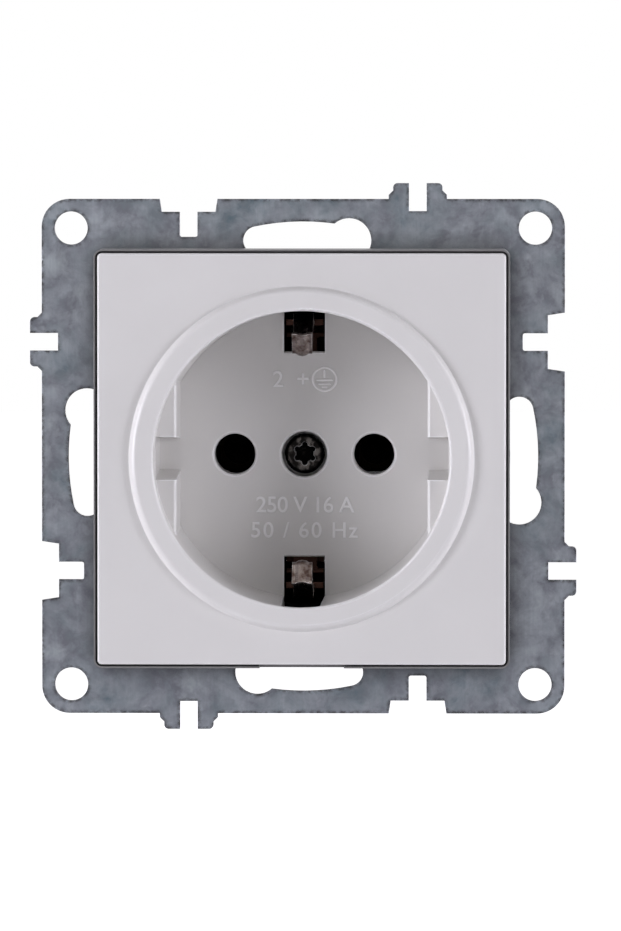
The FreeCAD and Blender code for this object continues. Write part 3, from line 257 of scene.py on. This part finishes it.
def platedSheet(spec):
    # cold-rolled steel, zinc plated and blue passivated: cloudy violet and teal tints over rolling lines,
    # dull brownish grey on the sheared edges, and painted shade beside the cover
    tree = newMaterial(spec["name"])
    coords = addNode(tree, "TexCoord").outputs
    place = coords["Object"]
    warp = addNode(tree, "TexNoise", {"Scale": perSize(spec["warpSize"]), "Detail": 4.0}, {"Vector": place})
    shifted = addNode(tree, "VectorMath", {"operation": "MULTIPLY_ADD", 1: (spec["shift"] * mm,) * 3},
                      {0: warp.outputs["Color"], 2: place})
    hue = addNode(tree, "TexNoise", {"Scale": perSize(spec["patchSize"]), "Detail": 5.0, "Roughness": 0.65},
                  {"Vector": shifted})
    tint = addNode(tree, "ValToRGB", None, {"Fac": hue})
    stops = tint.color_ramp.elements
    while len(stops) < len(spec["tintStops"]):
        stops.new(0.5)
    for stop, position, colour in zip(stops, spec["tintStops"], ("teal", "grey", "violet", "pale")):
        stop.position = position
        stop.color = linearColour(spec[colour])
    cloud = addNode(tree, "TexNoise", {"Scale": perSize(spec["cloudSize"]), "Detail": 5.0, "Roughness": 0.65},
                    {"Vector": shifted})
    clouded = addNode(tree, "MapRange", {"From Min": 0.38, "From Max": 0.68, "To Max": 0.7}, {"Value": cloud})
    mottled = addNode(tree, "Mix", {"data_type": "RGBA", 7: spec["pale"]},
                      {"Factor": clouded, 6: tint}).outputs[2]
    drawn = addNode(tree, "Mapping", {"Scale": spec["streakStretch"]}, {"Vector": place})
    streak = addNode(tree, "TexNoise", {"Scale": perSize(spec["streakSize"]), "Detail": 3.0,
                                        "Roughness": 0.6}, {"Vector": drawn})
    streaked = addNode(tree, "MapRange", {"From Min": 0.35, "From Max": 0.75, "To Max": 0.3},
                       {"Value": streak})
    rolled = addNode(tree, "Mix", {"data_type": "RGBA", 7: spec["grey"]},
                     {"Factor": streaked, 6: mottled}).outputs[2]
    speck = addNode(tree, "TexNoise", {"Scale": perSize(spec["speckSize"]), "Detail": 4.0, "Roughness": 0.7},
                    {"Vector": place})
    speckled = addNode(tree, "MapRange", {"From Min": 0.4, "From Max": 0.6}, {"Value": speck})
    rimmed = addNode(tree, "Math", {"operation": "MULTIPLY"},
                     {0: wornEdge(tree, **spec["stained"]), 1: speckled})
    stained = addNode(tree, "Mix", {"data_type": "RGBA", 7: spec["stain"]},
                      {"Factor": rimmed, 6: rolled}).outputs[2]
    # painted shade beside the cover and in recesses, in the stain colour
    inOpen = openness(tree, **spec["beside"])
    faces = addNode(tree, "Mix", {"data_type": "RGBA", 6: spec["stain"]},
                    {"Factor": inOpen, 7: stained}).outputs[2]
    facing = addNode(tree, "SeparateXYZ", None, {"Vector": coords["Normal"]})
    either = addNode(tree, "Math", {"operation": "ABSOLUTE"}, {0: facing.outputs["Y"]})
    flat = addNode(tree, "MapRange", {"From Min": 0.35, "From Max": 0.75}, {"Value": either})
    colour = addNode(tree, "Mix", {"data_type": "RGBA", 6: spec["cut"]},
                     {"Factor": flat, 7: faces}).outputs[2]
    glossy, dull = spec["roughness"]
    gloss = {"From Min": 0.3, "From Max": 0.7, "To Min": glossy, "To Max": dull}
    roughness = addNode(tree, "MapRange", gloss, {"Value": cloud})
    grain = addNode(tree, "TexNoise", {"Scale": perSize(spec["grainSize"]), "Detail": 3.0, "Roughness": 0.6},
                    {"Vector": place})
    rounded = addNode(tree, "Bevel", {"samples": 4, "Radius": spec["edge"] * mm})
    relief = addNode(tree, "Bump", {"Distance": spec["grainDepth"] * mm, "Strength": 0.5},
                     {"Height": grain, "Normal": rounded})
    return finished(tree, spec["name"], {"Metallic": 1.0},
                    {"Base Color": colour, "Roughness": roughness, "Normal": relief})


drawnBar = {
    "light": "#85868C",
    "dark": "#5B5C62",
    "patchSize": 1.6,        # stains of handling
    "stain": (0.35, 0.7),    # where their noise goes from the light to the dark colour
    "deep": "#0B0B0C",       # painted shade in recesses
    "recess": {"reach": 1.2, "low": 0.3, "high": 0.85},    # openness from that painted shade to the unshaded metal
    "bright": "#C9CACD",     # rubbed edges, which also stand as painted highlights
    "rubbedAndGlint": {"low": 0.08, "high": 0.4},
    "rubWidth": 1.6,         # times the radius of the rounded edges
    "lineSize": 0.12,        # drawing lines, drawn out along Y
    "lineStretch": (1.0, 0.15, 1.0),
    "lineDepth": 0.004,
    "edge": 0.06,
    "roughness": (0.22, 0.4),
    "arm": None,             # colour behind that depth, darker and browner
    "armDepth": (5.6, 6.8),
}


def drawnMetal(name, **changes):
    # rolled or turned metal: fine drawing lines along one direction, handling stains in soft patches,
    # painted shade in its recesses, and brightly rubbed edges that also stand as painted highlights
    spec = dict(drawnBar, **changes)
    tree = newMaterial(name)
    place = addNode(tree, "TexCoord").outputs["Object"]
    patches = addNode(tree, "TexNoise", {"Scale": perSize(spec["patchSize"]), "Detail": 4.0,
                                         "Roughness": 0.6}, {"Vector": place})
    light, dark = spec["stain"]
    stained = addNode(tree, "MapRange", {"From Min": light, "From Max": dark}, {"Value": patches})
    ground = addNode(tree, "Mix", {"data_type": "RGBA", 6: spec["light"], 7: spec["dark"]},
                     {"Factor": stained}).outputs[2]
    rim = addNode(tree, "RGB")
    rim.outputs[0].default_value = linearColour(spec["bright"])
    # darker and browner behind that depth
    if spec["arm"]:
        depth = addNode(tree, "SeparateXYZ", None, {"Vector": place})
        first, last = spec["armDepth"]
        behind = addNode(tree, "MapRange", {"From Min": first * mm, "From Max": last * mm},
                         {"Value": depth.outputs["Y"]})
        deeperMix = {"data_type": "RGBA", 7: spec["arm"]}
        ground = addNode(tree, "Mix", deeperMix, {"Factor": behind, 6: ground}).outputs[2]
        rim = addNode(tree, "Mix", deeperMix, {"Factor": behind, 6: rim}).outputs[2]
    # painted shade in the recesses, in the deep colour
    unshaded = openness(tree, **spec["recess"])
    recessShaded = addNode(tree, "Mix", {"data_type": "RGBA", 6: spec["deep"]},
                     {"Factor": unshaded, 7: ground}).outputs[2]
    # rubbed edges, which also stand as painted highlights, in the bright colour
    edges = wornEdge(tree, spec["edge"] * spec["rubWidth"], **spec["rubbedAndGlint"])
    bared = addNode(tree, "MapRange", {"From Min": 0.4, "From Max": 0.6, "To Min": 0.9, "To Max": 0.2},
                    {"Value": patches})
    rubbedAndGlint = addNode(tree, "Math", {"operation": "MULTIPLY"}, {0: edges, 1: bared})
    colour = addNode(tree, "Mix", {"data_type": "RGBA"}, {"Factor": rubbedAndGlint, 6: recessShaded, 7: rim}).outputs[2]
    glossy, dull = spec["roughness"]
    gloss = {"From Min": 0.3, "From Max": 0.7, "To Min": glossy, "To Max": dull}
    roughness = addNode(tree, "MapRange", gloss, {"Value": patches})
    drawn = addNode(tree, "Mapping", {"Scale": spec["lineStretch"]}, {"Vector": place})
    lines = addNode(tree, "TexNoise", {"Scale": perSize(spec["lineSize"]), "Detail": 2.0, "Roughness": 0.5},
                    {"Vector": drawn})
    rounded = addNode(tree, "Bevel", {"samples": 4, "Radius": spec["edge"] * mm})
    relief = addNode(tree, "Bump", {"Distance": spec["lineDepth"] * mm, "Strength": 0.5},
                     {"Height": lines, "Normal": rounded})
    return finished(tree, name, {"Metallic": 1.0},
                    {"Base Color": colour, "Roughness": roughness, "Normal": relief})


coverPlastic = satinPlastic(mouldedAbs)
markPlastic = satinPlastic(paintedLightMark)
framePlastic = satinPlastic(frameAbs)
basePlastic = pressedThermoset(blackUrea)
insulatorPlastic = pressedThermoset(brownPhenolic)
ringSteel = platedSheet(zincSheet)
# black-oiled steel, rubbed bright at its edges, which also stands as painted highlights on its lobes; painted
# shade in its recess
screwSteel = drawnMetal("oiled_screw_steel", light="#67625F", dark="#191716", bright="#F4F4F4",
                        deep="#030303", patchSize=1.0, stain=(0.4, 0.54), edge=0.12,
                        recess={"reach": 2.6, "low": 0.62, "high": 0.86})
# cold-rolled and slightly oily
springSteel = drawnMetal("bright_spring_steel", light="#A2A4A6", dark="#75787B", patchSize=2.0)
# tin worn through to bronze on the clips, darker and browner behind a depth of 5.6 to 6.8 mm, on the arms
# deeper in the windows
earthBronze = drawnMetal("tinned_bronze_worn", light="#958B86", dark="#4E3E38", bright="#F0ECEA",
                         deep="#120C0A", arm="#4A342D", patchSize=1.5, stain=(0.36, 0.6), edge=0.15,
                         recess={"reach": 6.0, "low": 0.28, "high": 0.55})
# brown bronze, darkened almost to black as painted shade, for it lies deep in the pin holes
contactBronze = drawnMetal("rolled_tin_bronze", light="#23180F", dark="#150E09", bright="#2C1F15",
                           deep="#040302", patchSize=2.5,
                           recess={"reach": 8.0, "low": 0.2, "high": 0.9})

slotMaterials = {
    "cover_plastic": coverPlastic,
    "frame_plastic": framePlastic,
    "base_plastic": basePlastic,
    "insulator_plastic": insulatorPlastic,
    "plated_steel": ringSteel,
    "screw_steel": screwSteel,
    "spring_steel": springSteel,
    "earth_bronze": earthBronze,
    "contact_bronze": contactBronze,
}
for row in frame["record"]["subparts"]:
    node = nodes[row["node"]]
    node.data.materials.clear()
    node.data.materials.append(slotMaterials[row["material_slot"]])
print("materials set on the solids")


# New pieces

def meshPiece(name, points, faces, material, smooth=True):
    mesh = bpy.data.meshes.new(name)
    mesh.from_pydata(points.reshape(-1, 3).tolist(), [], faces)
    mesh.update()
    if smooth:
        mesh.shade_smooth()
    else:
        mesh.shade_flat()
    mesh.materials.append(material)
    piece = bpy.data.objects.new(name, mesh)
    bpy.context.scene.collection.objects.link(piece)
    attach(piece, "root")


def gridFaces(rows, columns, closedAcross=False, closedAlong=False):
    # four-sided faces between neighbours of a grid; where closed, the last column or row meets the first
    r, c = np.meshgrid(np.arange(rows if closedAlong else rows - 1),
                       np.arange(columns if closedAcross else columns - 1), indexing="ij")
    nextRow, nextColumn = (r + 1) % rows, (c + 1) % columns
    corners = np.stack([r * columns + c, r * columns + nextColumn,
                        nextRow * columns + nextColumn, nextRow * columns + c], axis=-1)
    return corners.reshape(-1, 4).tolist()


def rotatedToFront(across, forward, upward):
    # columns of points from their places across, towards the viewer and upward, in mm
    return np.column_stack([across, -forward, upward]) * mm


wellMarks = {
    "floor": 6.5,            # floor of the plug well, behind the wall plane
    "raised": 0.15,
    "sunk": 0.05,            # how far a mark reaches down into the floor
    "capital": 0.682,        # capital of the typeface at size 1
    "swell": 0.008,          # strokes widened by this at size 1
    "curveSteps": 4,
    "lines": [
        # name, text, middle across and upward, height of a capital, spacing
        ("mark_poles", "2 +", (-1.85, 10.28), 2.15, 1.25),
        ("mark_rating", "250 V 16 A", (0.13, -6.88), 2.1, 0.95),
        ("mark_frequency", "50 / 60 Hz", (0.02, -10.36), 2.05, 1.14),
    ],
}


def raisedText(name, body, middle, height, spacing):
    # letters as a flat-topped mesh, then laid on the floor of the well
    spec = wellMarks
    curve = bpy.data.curves.new(name, "FONT")
    curve.body = body
    curve.space_character = spacing
    curve.extrude = 0.5      # any depth: only which side a point is on counts below
    curve.offset = spec["swell"]
    curve.resolution_u = spec["curveSteps"]
    source = bpy.data.objects.new(name + "_source", curve)
    bpy.context.scene.collection.objects.link(source)
    bpy.context.view_layer.update()
    flat = bpy.data.meshes.new_from_object(source.evaluated_get(bpy.context.evaluated_depsgraph_get()))
    bpy.data.objects.remove(source)
    bpy.data.curves.remove(curve)
    points = np.empty(len(flat.vertices) * 3)
    flat.vertices.foreach_get("co", points)
    points = points.reshape(-1, 3)
    faces = [list(face.vertices) for face in flat.polygons]
    bpy.data.meshes.remove(flat)
    scale = height / spec["capital"]
    across = (points[:, 0] - (points[:, 0].min() + points[:, 0].max()) / 2) * scale + middle[0]
    upward = (points[:, 1] - spec["capital"] / 2) * scale + middle[1]
    forward = np.where(points[:, 2] > 0, spec["raised"], -spec["sunk"]) - spec["floor"]
    placed = rotatedToFront(across, forward, upward)
    meshPiece(name, placed, faces, markPlastic, smooth=False)


for row in wellMarks["lines"]:
    raisedText(*row)

earthSign = {
    "middle": (2.75, 10.25),
    "circle": 1.6,           # middle of its stroke
    "halfStroke": 0.165,
    "stem": (1.28, 0.15),    # from the middle, upward
    "bars": [(-0.11, 1.16), (-0.65, 0.88), (-1.1, 0.41)],    # height and half the length of each
    # share of the half width to the left of the path, and height above the floor
    "profile": [(1.0, -0.05), (0.9, 0.09), (0.6, 0.15), (-0.6, 0.15), (-0.9, 0.09), (-1.0, -0.05)],
    "circleSteps": 72,
    "strokeSteps": 25,
}


def raisedStroke(path, closed):
    # a stroke of constant profile along a path: each point is the path's point plus the profile's share of
    # the half width along the path's normal; open ends narrow as a quarter circle
    spec = earthSign
    half = spec["halfStroke"]
    before = np.roll(path, 1, axis=0) if closed else np.vstack([path[:1], path[:-1]])
    after = np.roll(path, -1, axis=0) if closed else np.vstack([path[1:], path[-1:]])
    along = after - before
    along /= np.linalg.norm(along, axis=1)[:, None]
    normal = np.column_stack([-along[:, 1], along[:, 0]])
    share = np.ones(len(path))
    if not closed:
        run = np.concatenate([[0], np.cumsum(np.linalg.norm(np.diff(path, axis=0), axis=1))])
        fromEnd = np.clip(np.minimum(run, run[-1] - run) / half, 0, 1)
        share = np.sqrt(1 - (1 - fromEnd) ** 2)
    profile = np.array(spec["profile"])
    aside = share[:, None] * profile[:, 0] * half
    flat = path[:, None, :] + normal[:, None, :] * aside[..., None] + np.array(spec["middle"])
    forward = np.broadcast_to(profile[:, 1], aside.shape) - wellMarks["floor"]
    points = rotatedToFront(flat[..., 0].ravel(), forward.ravel(), flat[..., 1].ravel())
    return points, gridFaces(len(path), len(profile), closedAlong=closed)


def raisedSign():
    # a circle of stroke, then the stem and the three bars inside it
    spec = earthSign
    turn = np.linspace(0, 2 * np.pi, spec["circleSteps"], endpoint=False)
    strokes = [(np.column_stack([np.cos(turn), np.sin(turn)]) * spec["circle"], True)]
    share = 0.5 - 0.5 * np.cos(np.linspace(0, np.pi, spec["strokeSteps"]))      # close together at the ends
    top, foot = spec["stem"]
    strokes.append((np.column_stack([share * 0, top + (foot - top) * share]), False))
    for level, half in spec["bars"]:
        strokes.append((np.column_stack([(2 * share - 1) * half, share * 0 + level]), False))
    points, faces = [], []
    for path, closed in strokes:
        start = sum(len(part) for part in points)
        part, quads = raisedStroke(path, closed)
        points.append(part)
        faces += [[corner + start for corner in quad] for quad in quads]
    meshPiece("mark_earth", np.vstack(points), faces, markPlastic)


raisedSign()
print("marks on the floor of the well made")

screwThread = {
    "root": 1.62,
    "crest": 1.86,
    "pitch": 0.6,
    "steepness": 2.5,        # above 2 the crest is flat
    "start": 15.1,           # from the socket's axis, in the gap for the wire
    "end": 17.9,
    "runOut": 0.5,           # both ends of the ridge sink into the shank over this length
    "depth": 21.6,           # of the screws' axes, behind the wall plane
    "across": 40,
    "perTurn": 10,
}


def threadSleeve(name, direction):
    # radius = root + (crest - root) times a triangle wave of (length / pitch - angle / full turn),
    # which fades out towards both ends; the root lies just inside the shank of the solid
    spec = screwThread
    rows = int((spec["end"] - spec["start"]) / spec["pitch"] * spec["perTurn"])
    length, angle = np.meshgrid(np.linspace(spec["start"], spec["end"], rows),
                                np.linspace(0, 2 * np.pi, spec["across"], endpoint=False), indexing="ij")
    phase = (length / spec["pitch"] - angle / (2 * np.pi)) % 1
    fromEnd = np.minimum(length - spec["start"], spec["end"] - length)
    fade = np.clip(fromEnd / spec["runOut"], 0, 1)
    ridge = np.clip(spec["steepness"] * (0.5 - np.abs(phase - 0.5)), 0, 1) * fade
    radius = spec["root"] + (spec["crest"] - spec["root"]) * ridge
    side, depth = radius * np.cos(angle), radius * np.sin(angle) + spec["depth"]
    outward = np.array(direction)
    sideways = np.array([outward[1], -outward[0]])
    flat = length[..., None] * outward + side[..., None] * sideways
    points = np.stack([flat[..., 0], depth, flat[..., 1]], axis=-1) * mm
    meshPiece(name, points, gridFaces(rows, spec["across"], closedAcross=True), screwSteel)


for side, direction in (("left", (-1, 0)), ("right", (1, 0)), ("earth", (0, -1))):
    threadSleeve("screw_thread_" + side, direction)
print("threads of the terminal screws made")


# Floor, light and camera

studio = {
    "floorDrop": 0.07,       # floor below the lowest ear
    "floorSize": 6.0,
    "floorColour": "#F4F4F4",
    "ambient": 0.03,         # strength of that faint light
    "light": "#F6F5FF",      # slightly cool lamps
    "lamps": [
        # name, azimuth from the front towards +X, elevation, distance, width, height, watts
        ("left_softbox", -58.6, 0, 0.9, 0.265, 0.5, 6.35),
        ("right_softbox", 59.7, 0, 0.9, 0.255, 0.5, 4.9),
        ("left_strip", -84, 3, 0.9, 0.14, 0.8, 3.9),
        ("right_strip", 84, 3, 0.9, 0.14, 0.8, 3.5),
        ("front_softbox", 0, 34, 1.3, 0.3, 0.3, 0.9),
        ("rear_left_softbox", -145, 10, 0.9, 0.5, 0.5, 2.0),
        ("rear_right_softbox", 145, 10, 0.9, 0.5, 0.5, 2.0),
        ("rear_top_softbox", 180, 62, 0.9, 0.6, 0.4, 3.0),
    ],
}


def background():
    # white to camera, glossy and transmission rays, and only a faint even light on the socket
    world = bpy.data.worlds.new("studio")
    bpy.context.scene.world = world
    world.use_nodes = True
    tree = world.node_tree
    tree.nodes.clear()
    rays = addNode(tree, "LightPath").outputs
    seen = addNode(tree, "Math", {"operation": "MAXIMUM"},
                   {0: rays["Is Camera Ray"], 1: rays["Is Glossy Ray"]})
    shown = addNode(tree, "Math", {"operation": "MAXIMUM"}, {0: seen, 1: rays["Is Transmission Ray"]})
    white = addNode(tree, "Background", {"Color": "#FFFFFF", "Strength": 1.0})
    fill = addNode(tree, "Background", {"Color": "#FFFFFF", "Strength": studio["ambient"]})
    mixed = addNode(tree, "MixShader", None, {0: shown, 1: fill, 2: white})
    addNode(tree, "OutputWorld", None, {"Surface": mixed})


def floor():
    # pale paper that also glows a little for the camera, so that it meets the background without a line
    tree = newMaterial("studio_paper")
    rays = addNode(tree, "LightPath").outputs
    paper = addNode(tree, "BsdfDiffuse", {"Color": studio["floorColour"]})
    glow = addNode(tree, "Emission", None, {"Strength": rays["Is Camera Ray"]})
    both = addNode(tree, "AddShader", None, {0: paper, 1: glow})
    addNode(tree, "OutputMaterial", None, {"Surface": both})
    half = studio["floorSize"] / 2
    height = cadBounds[0][2] - studio["floorDrop"]
    corners = [(x * half, y * half, height) for x, y in ((-1, -1), (1, -1), (1, 1), (-1, 1))]
    mesh = bpy.data.meshes.new("studio_floor")
    mesh.from_pydata(corners, [], [(0, 1, 2, 3)])
    mesh.materials.append(bpy.data.materials["studio_paper"])
    sheet = bpy.data.objects.new("studio_floor", mesh)
    bpy.context.scene.collection.objects.link(sheet)


def lamp(name, azimuth, elevation, distance, width, height, watts):
    # a softbox that looks at the socket's axis
    light = bpy.data.lights.new(name, "AREA")
    light.shape = "RECTANGLE"
    light.size = width
    light.size_y = height
    light.energy = watts
    light.color = linearColour(studio["light"])[:3]
    box = bpy.data.objects.new(name, light)
    box.rotation_euler = Euler((math.radians(90 - elevation), 0, math.radians(azimuth)))
    box.location = box.rotation_euler.to_matrix() @ Vector((0, 0, distance))
    bpy.context.scene.collection.objects.link(box)


photoView = {
    "imageWidth": 621,
    "imageHeight": 931,
    "facePixel": (301.5, 459.3),   # where the photograph shows the middle of the cover's face
    "pixelsPerMm": 7.42,           # at that face
    "collar": 1.0,                 # how far the collar stands in front of that face
    "distance": 1.208,             # from that face in metres, by how much smaller the floor of the well looks
    "above": 2.5,                  # degrees above the socket's axis
    "right": 1.36,                 # degrees to its right
    "sensor": 36.0,
    "nearest": 0.01,               # anything closer in metres isn't drawn
}


def camera():
    view = photoView
    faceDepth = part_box("cover_plate")[0].y + view["collar"] * mm
    turn = Euler((math.radians(90 - view["above"]), 0, math.radians(view["right"])))
    pixel = mm / view["pixelsPerMm"]
    aside = (view["imageWidth"] / 2 - view["facePixel"][0]) * pixel
    upward = (view["facePixel"][1] - view["imageHeight"] / 2) * pixel
    data = bpy.data.cameras.new("photo_camera")
    data.sensor_width = view["sensor"]
    data.lens = view["distance"] / pixel / view["imageHeight"] * view["sensor"]
    data.clip_start = view["nearest"]
    eye = bpy.data.objects.new("photo_camera", data)
    eye.rotation_euler = turn
    eye.location = Vector((0, faceDepth, 0)) + turn.to_matrix() @ Vector((aside, upward, view["distance"]))
    bpy.context.scene.collection.objects.link(eye)
    bpy.context.scene.camera = eye


background()
floor()
for row in studio["lamps"]:
    lamp(*row)
camera()
bpy.context.scene.view_settings.view_transform = "Standard"
print("floor, light and camera set")
